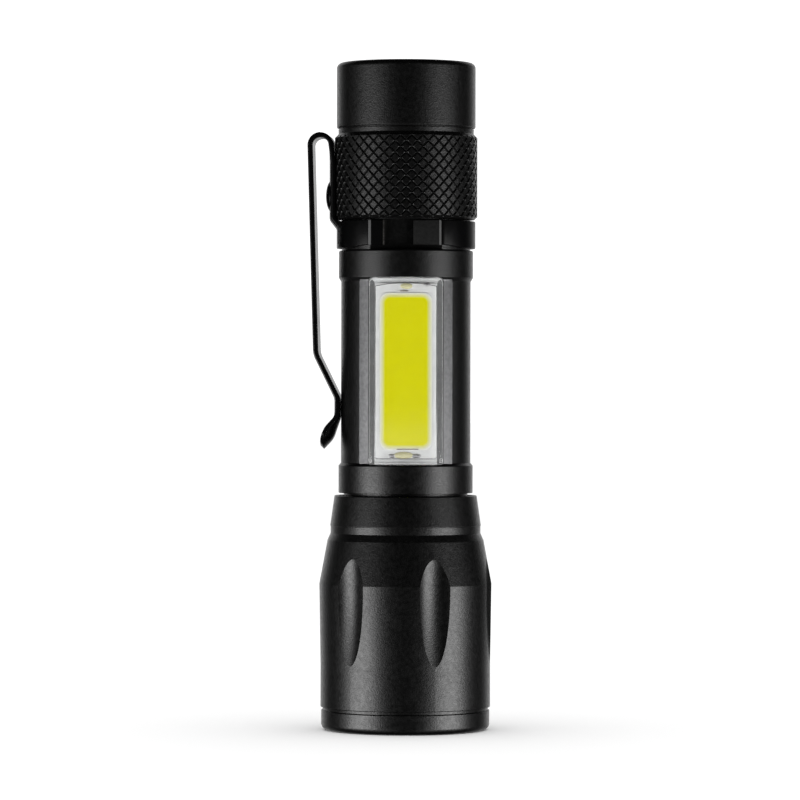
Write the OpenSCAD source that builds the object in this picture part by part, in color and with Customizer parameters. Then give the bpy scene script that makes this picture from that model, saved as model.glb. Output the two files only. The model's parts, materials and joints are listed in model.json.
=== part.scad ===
// Pocket torch with a sliding zoom head, a side light panel, a pocket clip and a screw-on tail cap.
// It stands on its bezel: +Z runs from the bezel to the tail, the panel faces -Y, the clip is at -X.

/* [Overall] */
// Length from the bezel's face to the end of the tail cap
torch_len = 93; // [92:0.5:97]

/* [Head] */
// Radius of the head's straight barrel
barrel_r = 11.85; // [11.75:0.01:11.95]
// Radius of the head at its shoulder
shoulder_r = 12.02; // [12:0.01:12.2]
// Height of the shoulder
shoulder_z = 20.2; // [19.6:0.1:20.6]
// Height of the head's rear end
head_end_z = 32.7; // [32.2:0.1:33]
// Distance that the head slides forward to narrow the beam
zoom_travel = 10; // [6:0.5:10]
// Number of finger flutes round the head
flutes = 6; // [3:1:8]
// Greatest depth of a flute
flute_depth = 0.86; // [0.5:0.02:1.2]
// Turn of the first flute away from the light panel, in degrees
flute_turn = 20.2; // [0:0.1:60]

/* [Lens] */
// Radius of the lens
lens_r = 10.2; // [10:0.05:10.25]
// Height of the lens's crown above the bezel's face
lens_crown_z = 0.9; // [0.6:0.1:2]
// Height of the lens's flat rear face
lens_flat_z = 7.1; // [6.8:0.05:7.1]

/* [Tube] */
// Radius of the tube beside the light panel
tube_r = 9.04; // [8.95:0.01:9.1]
// Radius of the rims at both ends of the light panel
rim_r = 9.37; // [9.2:0.01:9.5]
// Radius of the neck that the head slides on
neck_r = 8.65; // [8.5:0.01:8.65]
// Radius of the battery bore
bore_r = 7.15; // [7.1:0.01:7.2]

/* [Light panel] */
// Height of the panel's lower end
panel_z0 = 37.1; // [37:0.1:37.5]
// Height of the panel's upper end
panel_z1 = 63; // [62:0.1:63]
// Width of the clear cover
cover_w = 10.3; // [9.6:0.1:10.4]
// Width of the light-emitting strip
strip_w = 6.28; // [5:0.01:6.6]
// Length of the light-emitting strip
strip_len = 21.2; // [16:0.1:21.6]

/* [Pocket clip] */
// Thickness of the clip's spring steel
clip_t = 0.68; // [0.6:0.01:0.7]
// Width of the clip's leg and arm
clip_w = 5.7; // [4:0.1:6]
// Height of the clip's ring
clip_ring_h = 3.8; // [3.4:0.1:3.9]
// Turn of the clip away from the -X side, in degrees
clip_turn = 3; // [0:0.5:10]

/* [Tail cap] */
// Radius over the knurled grip
knurl_r = 9.95; // [9.9:0.01:10]
// Radius of the smooth end
tail_r = 9.69; // [9.6:0.01:9.8]
// Length of the tail cap
cap_len = 21.85; // [21.8:0.05:22.4]
// Radius of the hole for the button
button_hole_r = 6; // [5.5:0.1:6.4]
// Distance that the button is pressed in
button_travel = 1.2; // [0.5:0.1:1.2]
// Pitch of the cap's thread
thread_pitch = 0.8; // [0.6:0.1:1]

/* [Battery] */
// Radius of the wrapped cell
cell_r = 7; // [6.8:0.05:7]
// Length of the cell over its raised contact
cell_len = 50; // [48:0.5:50]

/* [Hidden] */
$fn = 72;

anodised = [0.07, 0.07, 0.075];
steel = [0.72, 0.72, 0.7];
black_steel = [0.04, 0.04, 0.045];
rubber_black = [0.1, 0.1, 0.1];
board_green = [0.1, 0.35, 0.2];
copper = [0.8, 0.5, 0.3];
brass = [0.8, 0.68, 0.35];

cut = 1;            // how far a cutting tool runs past the metal
snug = 0.02;        // gap between pieces of one body that touch
slide_gap = 0.07;   // radial running clearance of the sliding head

// Head, from the bezel backwards
bezel_h = 2.75;
seam_z = 3.2;
lens_seat_r = 10.3;
lens_edge_h = 1.2;
lens_edge_z = lens_flat_z - lens_edge_h;
gasket_r = 0.32;
shank_z = lens_edge_z - 2 * gasket_r - 2 * snug;
head_bore_r = 9.75;
lip_z = 27.3;
lip_r = neck_r + slide_gap;
step_z = 26.45;
step_r = 10.9;
collar_r = 10.5;
flute_tip_z = 9.35;
flute_low_z = 19;
flute_tool_r = 4.2;
flute_floor_r = pow(flute_low_z - flute_tip_z, 2) / (2 * (flute_depth - shoulder_r + barrel_r));

// Neck and the pieces inside it
neck_z = 9.3;
pill_z = 10.85;
pill_end_z = 15.7;
front_bore_r = 7.4;
inner_bore_r = 6.7;
stop_z = lip_z - zoom_travel - 0.1;
stop_h = 1.05;
stop_r = 9.5;
oring_r = 0.9;
oring_z = 14.2;
oring_mid_r = head_bore_r - 0.03 - oring_r;
wire_x = 4.4;
led_w = 3.5;
led_z = 8.8;
star_z = 9.65;
board_z = 25;
board_top_z = 26.15;
port_w = 7.5;
port_h = 2.6;
port_y = 2.4;
port_mouth_y = 7.7;
port_z = board_top_z + 0.05;

// Tube
rim_z = 33.05;
pocket_y = -7.42;
facet_x = 6.43;
facet_y = -6.35;
window_x = 3.2;
panel_mid_z = (panel_z0 + panel_z1) / 2;
cap_z = torch_len - cap_len;
ring_z = cap_z - 0.25 - clip_ring_h;
seat_r = 8.95;
seat_y = -7.45;
thread_z = cap_z + 1.85;
thread_end_z = cap_z + 9.25;
thread_root_r = 8;
thread_crest_r = 8.35;
cap_oring_r = 0.4;
cap_oring_z = cap_z + 1;
cap_bore_r = 8.45;

// Light panel
cob_w = 8.4;
cob_y = pocket_y - 0.03;
cob_t = 0.8;
strip_t = 0.35;
cover_front_y = -9.35;
cover_wall = 0.6;
cob_wire_at = [2.5, -7.1];
cob_wire_r = 0.3;

// Cell
cell_z = 29.2;
nub_h = 1;
can_z = cell_z + nub_h;
can_end_z = cell_z + cell_len - 0.05;
wrap_t = 0.13;
can_r = cell_r - wrap_t - snug;

// Pocket clip: heights and distances from the axis of the middle of its steel
ring_mid_r = seat_r + 0.05 + clip_t / 2;
leg_x = knurl_r + 0.13 + clip_t / 2;
bend_r = 1.44;
arm_x = leg_x + 2 * bend_r;
bend_x = leg_x + bend_r;
bend_top_z = cap_z + 11.79;
boss_z = cap_z + 3.55;
boss_r = 1.9;
boss_h = 0.33;
elbow = [12.43, 52.4];
rest_point = [8.95, 45.45];
clip_tip = [11.85, 39.6];

// Tail cap and its switch, from the cell backwards
switch_bore_z = cap_z + 10.05;
switch_bore_r = 7.9;
ledge_z = cap_z + 13.25;
boot_bore_r = 7;
end_wall_z = torch_len - 1.6;
cove_z = cap_z + 11.8;
smooth_z = cap_z + 13.15;
cove_r = 9.42;
housing_w = 8.4;
plunger_r = 2.2;
boot_z = end_wall_z - 1.1;
housing_end_z = boot_z - button_travel - 0.2;
spring_end_z = ledge_z - 1.2;

// ---------- shared shapes ----------

// A solid turned about Z from a closed outline of [height, radius] points
module turned(points) {
    rotate_extrude() polygon([for (p = points) [p[1], p[0]]]);
}

// A plain ring between two heights
module ring(z0, z1, r_in, r_out) {
    translate([0, 0, z0]) linear_extrude(z1 - z0) difference() {
        circle(r_out);
        circle(r_in);
    }
}

// A round bar between two heights
module bar(z0, z1, r, at = [0, 0]) {
    translate([at[0], at[1], z0]) cylinder(h = z1 - z0, r = r);
}

// A box between two opposite corners
module box(low, high) {
    translate(low) cube(high - low);
}

// An O-ring about Z
module oring(z, mid_r, section_r) {
    rotate_extrude() translate([mid_r, z]) circle(section_r);
}

// A flat outline with rounded corners, centred
module rounded_rect(w, h, r) {
    square([w - 2 * r, h], center = true);
    square([w, h - 2 * r], center = true);
    for (x = [-1, 1], y = [-1, 1]) translate([x * (w / 2 - r), y * (h / 2 - r)]) circle(r);
}

// A flat outline in X and Z given thickness from y_back forwards to y_front
module plate(y_back, y_front) {
    translate([0, y_back, 0]) rotate([90, 0, 0]) linear_extrude(y_back - y_front) children();
}

// Height along a coil spring: its end turns lie flat, the turns between them climb evenly
function coil_height(t, turns, h, wire_r) =
    let (flat_h = 2.1 * wire_r, climb = (h - 2 * flat_h) / (turns - 2))
    t < 1 ? t * flat_h : t > turns - 1 ? h - (turns - t) * flat_h : flat_h + (t - 1) * climb;

// A coil spring of round wire between two heights
module coil(z0, z1, mid_r, wire_r, turns) {
    sides = 8;
    steps = 16;
    rings = turns * steps;
    h = z1 - z0 - 2 * wire_r;
    points = [for (i = [0:rings], j = [0:sides - 1])
        let (a = 360 * i / steps, b = 360 * j / sides, r = mid_r + wire_r * cos(b))
        [r * cos(a), r * sin(a), z0 + wire_r * (1 + sin(b)) + coil_height(i / steps, turns, h, wire_r)]];
    walls = [for (i = [0:rings - 1], j = [0:sides - 1])
        let (k = (j + 1) % sides)
        [i * sides + k, i * sides + j, (i + 1) * sides + j, (i + 1) * sides + k]];
    ends = [[for (j = [0:sides - 1]) j], [for (j = [sides - 1:-1:0]) rings * sides + j]];
    polyhedron(points, concat(walls, ends));
}

function unit(v) = v / norm(v);

// Points of an arc of radius r that rounds the corner b between a and c
function corner(a, b, c, r, steps = 8) =
    let (u = unit(a - b), v = unit(c - b), half = acos(u * v) / 2,
         centre = b + unit(u + v) * r / sin(half),
         from = b + u * r / tan(half) - centre, to = b + v * r / tan(half) - centre)
    [for (i = [0:steps]) centre + r * unit(from + (to - from) * i / steps)];

// A path with its inner points rounded, each to its own radius
function rounded_path(path, radii) = [
    path[0],
    for (i = [1:len(path) - 2]) each corner(path[i - 1], path[i], path[i + 1], radii[i - 1]),
    path[len(path) - 1]];

// The path moved sideways by d
function beside(path, d) = [for (i = [0:len(path) - 1])
    let (t = unit(path[min(i + 1, len(path) - 1)] - path[max(i - 1, 0)]))
    path[i] + d * [-t[1], t[0]]];

function reversed(list) = [for (i = [len(list) - 1:-1:0]) list[i]];

// A steel strip that follows a path of [distance from the axis, height] on the clip's side
module clip_strip(path) {
    rotate([0, 0, 180 - clip_turn]) rotate([90, 0, 0])
        linear_extrude(clip_w, center = true)
            polygon(concat(beside(path, clip_t / 2), reversed(beside(path, -clip_t / 2))));
}

// ---------- zoom head ----------

module flute_cuts() {
    centre_r = shoulder_r - flute_depth + flute_floor_r;
    for (i = [0:flutes - 1])
        rotate([0, 0, flute_turn - 90 + i * 360 / flutes])
            translate([centre_r, 0, flute_low_z]) rotate([90, 0, 0]) rotate_extrude()
                translate([flute_floor_r - flute_tool_r, 0]) circle(flute_tool_r);
}

module head_shell() {
    color(anodised) difference() {
        turned([
            [seam_z, lens_seat_r], [seam_z, barrel_r], [flute_tip_z, barrel_r],
            [shoulder_z, shoulder_r], [shoulder_z + 0.3, shoulder_r - 0.02],
            [shoulder_z + 1.2, shoulder_r - 0.14], [step_z, step_r], [step_z + 0.95, collar_r],
            [step_z + 2, collar_r - 0.02], [step_z + 2.05, collar_r + 0.025],
            [head_end_z - 0.4, 9.95], [head_end_z, 9.75], [head_end_z, lip_r + 0.3],
            [head_end_z - 0.3, lip_r], [lip_z, lip_r], [lip_z, head_bore_r],
            [lens_flat_z + snug, head_bore_r], [lens_flat_z + snug, lens_seat_r]]);
        flute_cuts();
    }
}

module bezel_ring() {
    round_r = 0.9;
    color(anodised) rotate_extrude() difference() {
        polygon([
            [10.1, 0], [barrel_r - 0.1, 0], [barrel_r - 0.1, bezel_h], [barrel_r - 0.3, bezel_h],
            [barrel_r - 0.3, seam_z - snug], [lens_seat_r - snug, seam_z - snug],
            [lens_seat_r - snug, shank_z], [9.6, shank_z], [9.6, 1.6], [9.4, 1.4], [9.4, 0.7]]);
        translate([barrel_r - 0.1 - round_r, round_r]) difference() {
            translate([0, -round_r - cut]) square(round_r + cut);
            circle(round_r);
        }
    }
}

module lens() {
    crown_r = lens_seat_r - 0.6;
    crown_h = lens_edge_z - lens_crown_z;
    ball_r = (crown_r * crown_r + crown_h * crown_h) / (2 * crown_h);
    color([0.85, 0.9, 0.95]) rotate_extrude() {
        translate([0, lens_edge_z]) square([lens_r, lens_edge_h]);
        intersection() {
            translate([0, lens_crown_z + ball_r]) circle(ball_r);
            translate([0, lens_crown_z]) square([crown_r, crown_h + snug]);
        }
    }
}

module lens_gasket() {
    color(rubber_black) oring(lens_edge_z - gasket_r - snug, lens_seat_r - 0.35, gasket_r);
}

// ---------- tube ----------

// Outside of the tube from the neck's front to the end of its thread
function tube_outside() = concat(
    [[neck_z, neck_r - 0.3], [neck_z + 0.3, neck_r],
     [oring_z - 1, neck_r], [oring_z - 1, oring_mid_r - oring_r - snug],
     [oring_z + 1, oring_mid_r - oring_r - snug], [oring_z + 1, neck_r],
     [stop_z - stop_h - snug, neck_r], [stop_z - stop_h - snug, neck_r - 0.55],
     [stop_z + snug, neck_r - 0.55], [stop_z + snug, neck_r],
     [rim_z, neck_r], [rim_z, rim_r - 0.15], [rim_z + 0.15, rim_r],
     [panel_z0 - 0.2, rim_r], [panel_z0 + 0.2, tube_r],
     [panel_z1 - 0.5, tube_r], [panel_z1 + 0.1, rim_r],
     [ring_z - 0.6, rim_r], [ring_z - 0.3, rim_r - 0.3], [ring_z - 0.3, seat_r],
     [cap_z - 0.05, seat_r], [cap_z - 0.05, 8.3],
     [cap_oring_z - 0.45, 8.3], [cap_oring_z - 0.45, 7.6],
     [cap_oring_z + 0.45, 7.6], [cap_oring_z + 0.45, 8.3], [thread_z, 8.3]],
    [for (z = [thread_z:thread_pitch:thread_end_z - thread_pitch])
        each [[z + thread_pitch * 0.3, thread_root_r], [z + thread_pitch * 0.8, thread_crest_r]]],
    [[thread_end_z, thread_root_r]]);

// Inside of the tube, from its rear to its front
function tube_inside() = [
    [thread_end_z, bore_r + 0.2], [thread_end_z - 0.2, bore_r], [board_z, bore_r],
    [board_z, inner_bore_r], [pill_end_z, inner_bore_r], [pill_end_z, front_bore_r],
    [neck_z, front_bore_r]];

// Flat for the light panel with a facet at each side of it
module panel_pocket() {
    translate([0, 0, panel_z0 + 0.1]) linear_extrude(panel_z1 - panel_z0 - 0.4)
        polygon([[-facet_x, facet_y], [-cover_w / 2, pocket_y], [cover_w / 2, pocket_y],
            [facet_x, facet_y], [facet_x + 3, -12], [-facet_x - 3, -12]]);
    box([-cover_w / 2, -12, panel_z0 - 0.05], [cover_w / 2, pocket_y, panel_z1 + 0.05]);
    box([-window_x, -8, panel_z0 + 1.4], [window_x, -5, panel_z1 - 1.5]);
}

module body_tube() {
    color(anodised) difference() {
        turned(concat(tube_outside(), tube_inside()));
        panel_pocket();
        // flat that keys the clip's ring
        box([-8, -12, ring_z - 0.3], [8, seat_y, cap_z - 0.05]);
        // opening of the charging port
        box([-port_w / 2 - 0.25, 5, port_z - 0.2], [port_w / 2 + 0.25, 10, port_z + port_h + 0.2]);
        // channels for the panel's wires
        for (x = [-1, 1])
            translate([x * cob_wire_at[0], 0, 0]) box([-0.4, -7.6, board_top_z], [0.4, -6, panel_z0 + 1.6]);
    }
}

module zoom_oring() {
    color(rubber_black) oring(oring_z, oring_mid_r, oring_r);
}

// Snap ring that stops the head at the end of its travel
module zoom_stop_ring() {
    color(steel) difference() {
        ring(stop_z - stop_h, stop_z, neck_r - 0.53, stop_r);
        box([-1.2, 6, stop_z - stop_h - cut], [1.2, 12, stop_z + cut]);
    }
}

// ---------- front light ----------

module led_pill() {
    color(brass) difference() {
        bar(pill_z, pill_end_z - 0.05, front_bore_r - snug);
        bar(pill_z + 2.6, pill_end_z + cut, 6.1);
        for (x = [-1, 1]) bar(pill_z - cut, pill_end_z, 0.7, [x * wire_x, 0]);
    }
}

module led_star_board() {
    color([0.9, 0.9, 0.9]) difference() {
        bar(star_z, pill_z - snug, front_bore_r - 0.1);
        for (x = [-1, 1]) bar(star_z - cut, pill_z, 0.6, [x * wire_x, 0]);
        for (a = [30:60:330]) rotate([0, 0, a]) bar(star_z - cut, pill_z, 0.9, [front_bore_r, 0]);
    }
}

module led_emitter() {
    half = led_w / 2;
    color([0.92, 0.92, 0.88]) box([-half, -half, led_z], [half, half, star_z - snug]);
}

module led_dome() {
    dome_r = 1.25;
    color([0.9, 0.85, 0.3]) intersection() {
        translate([0, 0, led_z - snug]) sphere(dome_r);
        bar(led_z - snug - dome_r, led_z - snug, dome_r + cut);
    }
}

module led_insulator() {
    color([0.95, 0.95, 0.95]) ring(star_z - 0.5, star_z - snug, 2.9, front_bore_r - 0.1);
}

module led_wires() {
    for (x = [-1, 1])
        color(x < 0 ? "black" : "red") bar(star_z + 0.05, board_z - snug, 0.45, [x * wire_x, 0]);
}

// ---------- driver and charging port ----------

module driver_board() {
    color(board_green) bar(board_z + snug, board_top_z, bore_r - 0.1);
}

// Parts on the front of the board: controller, charger, coil and two capacitors
module driver_chips() {
    tops = [[[-2.4, -4.6], [4.9, 3.9, 1.5]], [[-1.6, 1.2], [3, 3, 0.9]], [[-1.5, 4.7], [3, 1.2, 0.9]],
        [[3.2, -3.6], [1.6, 0.8, 0.8]], [[3.2, 2.6], [1.6, 0.8, 0.8]]];
    for (i = [0:len(tops) - 1])
        let (at = tops[i][0], size = tops[i][1])
        color(i < 2 ? [0.1, 0.1, 0.1] : [0.6, 0.5, 0.35])
            box([at[0], at[1], board_z - size[2]], [at[0] + size[0], at[1] + size[1], board_z]);
}

module charge_port_shell() {
    wall = 0.25;
    color(steel) translate([0, 0, port_z + port_h / 2]) difference() {
        plate(port_mouth_y, port_y) rounded_rect(port_w, port_h, 0.8);
        plate(port_mouth_y + cut, port_y + wall)
            rounded_rect(port_w - 2 * wall, port_h - 2 * wall, 0.6);
    }
}

module charge_port_tongue() {
    color(rubber_black) box([-2.3, port_y + 0.27, port_z + 1.1], [2.3, port_mouth_y - 0.8, port_z + 1.65]);
}

module contact_spring() {
    color(brass) translate([0, -1.9, 0]) coil(board_top_z + snug, cell_z - snug, 1.4, 0.2, 4);
}

// ---------- side light panel ----------

module cob_board() {
    color([0.93, 0.93, 0.93]) translate([0, 0, panel_mid_z])
        plate(cob_y, cob_y - cob_t) rounded_rect(cob_w, panel_z1 - panel_z0 - 1.7, 0.3);
}

module cob_phosphor() {
    color([0.9, 0.88, 0.05]) translate([0, 0, panel_mid_z - 0.05])
        plate(cob_y - cob_t - 0.01, cob_y - cob_t - strip_t) rounded_rect(strip_w, strip_len, 0.85);
}

// Solder domes that join the wires at the board's ends
module cob_solder() {
    for (z = [panel_z0 + 1.35, panel_z1 - 1.35])
        color(steel) intersection() {
            translate([0, cob_y - cob_t + 0.35, z]) sphere(0.75);
            box([-1, cob_y - cob_t - 1, z - 1], [1, cob_y - cob_t - 0.01, z + 1]);
        }
}

// Clear cover: a shallow tray with rounded shoulders, open at the back
module cob_cover() {
    edge = 0.05;
    half = cover_w / 2 - edge;
    shoulder = 0.9;
    length = panel_z1 - panel_z0;
    color([0.9, 0.93, 0.95, 0.5]) difference() {
        translate([0, 0, panel_z0]) linear_extrude(length) {
            translate([-half, cover_front_y + shoulder])
                square([2 * half, pocket_y - cover_front_y - shoulder - snug]);
            translate([shoulder - half, cover_front_y]) square([2 * (half - shoulder), shoulder + snug]);
            for (x = [-1, 1]) translate([x * (half - shoulder), cover_front_y + shoulder]) circle(shoulder);
        }
        box([-cob_w / 2 - 0.2, cover_front_y + cover_wall, panel_z0 + 0.75],
            [cob_w / 2 + 0.2, -5, panel_z1 - 0.75]);
    }
}

module cob_wires() {
    z0 = board_top_z + cob_wire_r + snug;
    for (x = [-1, 1])
        color(x < 0 ? "black" : "red") translate([x * cob_wire_at[0], cob_wire_at[1], z0]) {
            cylinder(h = panel_z0 + 2.9 - z0, r = cob_wire_r);
            sphere(cob_wire_r);
            rotate([-90, 0, 0]) cylinder(h = 1.1, r = cob_wire_r);
        }
}

// ---------- cell ----------

module cell_can() {
    color(steel) bar(can_z, can_end_z, can_r);
}

module cell_sleeve() {
    lip_r_in = cell_r - 1.2;
    color([0.15, 0.35, 0.7]) turned([
        [can_z - wrap_t, lip_r_in], [can_z - wrap_t, cell_r], [can_end_z + 0.04, cell_r],
        [can_end_z + 0.04, cell_r - 0.8], [can_end_z + 0.01, cell_r - 0.8],
        [can_end_z + 0.01, can_r + snug / 2], [can_z - snug, can_r + snug / 2], [can_z - snug, lip_r_in]]);
}

module cell_cap() {
    color(steel) bar(cell_z, can_z - 0.01, 3);
}

module cell_insulator() {
    color("white") ring(can_z - wrap_t, can_z - snug, 3.3, cell_r - 1.3);
}

// ---------- pocket clip ----------

// The ring's outline: round at the back, straight across the light panel's side
module clip_ring_outline(r, y) {
    intersection() {
        circle(r);
        translate([-r, y]) square([2 * r, 2 * r]);
    }
}

// The clip's ring, its leg and the inner half of the bend at the top
module clip_band() {
    ring_in_r = seat_r + 0.05;
    bend_line_x = 5.2;
    leg_path = rounded_path(
        [[ring_mid_r, ring_z + 0.5], [ring_mid_r, ring_z + 2.3], [leg_x, ring_z + 3.7],
         [leg_x, bend_top_z], [bend_x - snug, bend_top_z]],
        [1, 1, bend_r - 0.05]);
    color(black_steel) difference() {
        union() {
            translate([0, 0, ring_z]) linear_extrude(clip_ring_h) difference() {
                clip_ring_outline(ring_in_r + clip_t + 0.03, seat_y - clip_t - 0.07);
                clip_ring_outline(ring_in_r, seat_y - 0.05);
            }
            clip_strip(leg_path);
            // pressed-out boss on the leg
            rotate([0, 0, 180 - clip_turn]) translate([leg_x, 0, boss_z]) rotate([0, 90, 0])
                cylinder(h = clip_t / 2 + boss_h, r1 = boss_r, r2 = boss_r / 2);
        }
        // gap between the ring's two ends
        box([-3, -12, ring_z - cut], [1, 0, cap_z + cut]);
        // the straight ends stand a little higher than the round part
        box([-bend_line_x, -12, ring_z - cut], [bend_line_x, -5, ring_z + 0.35]);
    }
}

// The springy outer arm, from the top of the bend to its turned-out tip
module clip_arm() {
    color(black_steel) clip_strip(rounded_path(
        [[bend_x + snug, bend_top_z], [arm_x, bend_top_z], elbow, rest_point, clip_tip],
        [bend_r - 0.05, 3, 3.5]));
}

// ---------- tail cap and switch ----------

module tailcap_oring() {
    color(rubber_black) oring(cap_oring_z, cap_bore_r - 0.02 - cap_oring_r, cap_oring_r);
}

module tail_spring() {
    color(steel) coil(cell_z + cell_len + 0.05, spring_end_z, 4.2, 0.4, 4);
}

module tailcap() {
    color(anodised) difference() {
        turned([
            [cap_z, cap_bore_r], [cap_z, knurl_r - 0.35], [cap_z + 0.35, knurl_r],
            [cove_z - 0.25, knurl_r], [cove_z, knurl_r - 0.25], [cove_z + 0.25, cove_r],
            [cove_z + 0.8, cove_r], [smooth_z, tail_r], [torch_len - 0.8, tail_r],
            [torch_len - 0.23, tail_r - 0.23], [torch_len, tail_r - 0.8],
            [torch_len, button_hole_r + 0.3], [torch_len - 0.3, button_hole_r],
            [end_wall_z, button_hole_r], [end_wall_z, boot_bore_r], [ledge_z, boot_bore_r],
            [ledge_z, switch_bore_r], [switch_bore_z, switch_bore_r], [switch_bore_z, cap_bore_r]]);
    }
}

module switch_retaining_ring() {
    color(brass) difference() {
        ring(switch_bore_z + 0.2, ledge_z - 1.2, 5.4, switch_bore_r - 0.05);
        for (a = [0, 180]) rotate([0, 0, a]) box([6, -0.75, switch_bore_z], [9, 0.75, switch_bore_z + 1.1]);
    }
}

module switch_board() {
    color(copper) bar(ledge_z - 1.15, ledge_z - 0.05, switch_bore_r - 0.2);
}

module switch_housing() {
    half = housing_w / 2;
    color([0.12, 0.12, 0.13]) difference() {
        box([-half, -half, ledge_z], [half, half, housing_end_z]);
        bar(ledge_z + 0.5, housing_end_z + cut, plunger_r + 0.1);
    }
}

module switch_spring() {
    color(steel) coil(ledge_z + 0.55, housing_end_z - 1.95, 1.4, 0.15, 4);
}

module switch_plunger() {
    color("white") {
        bar(housing_end_z - 1.9, boot_z + 0.1, plunger_r);
        bar(boot_z + 0.1, end_wall_z + 0.2, 3.2);
    }
}

module switch_boot() {
    boot_r = button_hole_r - 0.15;
    color(rubber_black) turned([
        [boot_z, boot_r - 0.9], [boot_z, boot_bore_r - 0.1], [end_wall_z - 0.05, boot_bore_r - 0.1],
        [end_wall_z - 0.05, boot_r], [torch_len - 0.75, boot_r], [torch_len - 0.5, boot_r - 0.3],
        [torch_len - 0.4, boot_r - 1.2], [torch_len - 0.4, 0], [end_wall_z + 0.25, 0],
        [end_wall_z + 0.25, boot_r - 0.9]]);
}

head_shell();
bezel_ring();
lens();
lens_gasket();
body_tube();
zoom_oring();
zoom_stop_ring();
led_pill();
led_star_board();
led_emitter();
led_dome();
led_insulator();
led_wires();
driver_board();
driver_chips();
charge_port_shell();
charge_port_tongue();
contact_spring();
cob_board();
cob_phosphor();
cob_solder();
cob_cover();
cob_wires();
cell_can();
cell_sleeve();
cell_cap();
cell_insulator();
clip_band();
clip_arm();
tailcap_oring();
tail_spring();
tailcap();
switch_retaining_ring();
switch_board();
switch_housing();
switch_spring();
switch_plunger();
switch_boot();
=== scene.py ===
"""Looks of the pocket torch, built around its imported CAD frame.

The torch stands on its bezel: +Z runs from the bezel to the tail, the side light faces -Y and the clip is
at -X. Sizes here are millimetres until mm() turns them into Blender's metres.
"""

import json
import math

import bmesh
import bpy
from mathutils import Matrix, Quaternion, Vector


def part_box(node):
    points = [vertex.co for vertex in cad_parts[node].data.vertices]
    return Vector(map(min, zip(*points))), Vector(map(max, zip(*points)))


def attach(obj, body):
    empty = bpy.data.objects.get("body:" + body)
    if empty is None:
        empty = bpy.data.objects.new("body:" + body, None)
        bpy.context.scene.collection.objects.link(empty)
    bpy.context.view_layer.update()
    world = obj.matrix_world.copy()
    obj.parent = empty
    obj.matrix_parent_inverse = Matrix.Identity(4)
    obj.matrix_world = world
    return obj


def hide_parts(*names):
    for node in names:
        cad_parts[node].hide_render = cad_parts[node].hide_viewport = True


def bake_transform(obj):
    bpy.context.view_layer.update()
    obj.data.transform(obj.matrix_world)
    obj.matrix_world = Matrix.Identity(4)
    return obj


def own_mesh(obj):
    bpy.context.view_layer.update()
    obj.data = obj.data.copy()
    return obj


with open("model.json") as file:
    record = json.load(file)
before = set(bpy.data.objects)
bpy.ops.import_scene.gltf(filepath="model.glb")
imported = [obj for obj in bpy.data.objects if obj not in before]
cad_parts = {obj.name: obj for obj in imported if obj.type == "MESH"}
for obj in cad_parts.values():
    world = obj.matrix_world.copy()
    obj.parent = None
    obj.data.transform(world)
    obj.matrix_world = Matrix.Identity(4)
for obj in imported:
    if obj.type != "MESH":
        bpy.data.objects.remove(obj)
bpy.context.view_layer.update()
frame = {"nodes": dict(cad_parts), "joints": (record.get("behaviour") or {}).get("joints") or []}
MM = 0.001
JOINTS = {j["name"]: j for j in frame["joints"]}

# How finely round shapes are cut
TURNS = 240
ARC_STEPS = 5
HOLD = 0.03  # an extra ring this close to each rounded edge keeps the flats beside it flat in the shading


def low(node):
    """Lowest corner of a CAD node in millimetres."""
    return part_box(node)[0] / MM


def high(node):
    """Highest corner of a CAD node in millimetres."""
    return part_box(node)[1] / MM


# Heights and radii that the frame gives
SEAM_Z = low("head_shell").z
HEAD_END_Z = high("head_shell").z
SHOULDER_R = high("head_shell").x
BARREL_R = 11.85
BEZEL_R = high("bezel_ring").x
NECK_Z = low("body_tube").z
RIM_R = high("body_tube").x
TUBE_END_Z = high("body_tube").z
CAP_Z = low("tailcap").z
END_Z = high("tailcap").z
KNURL_R = high("tailcap").x
PANEL_Z0 = low("cob_cover").z
PANEL_Z1 = high("cob_cover").z
PANEL_Y = high("cob_cover").y
COVER_Y = low("cob_cover").y
COVER_X = high("cob_cover").x
RING_Z0 = low("clip_band").z
SHOULDER_Z = 20.0
NECK_R = 8.65
TUBE_R = 9.04
RIM_Z = 33.05
BORE_R = 7.15


# ---------- materials ----------


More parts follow.
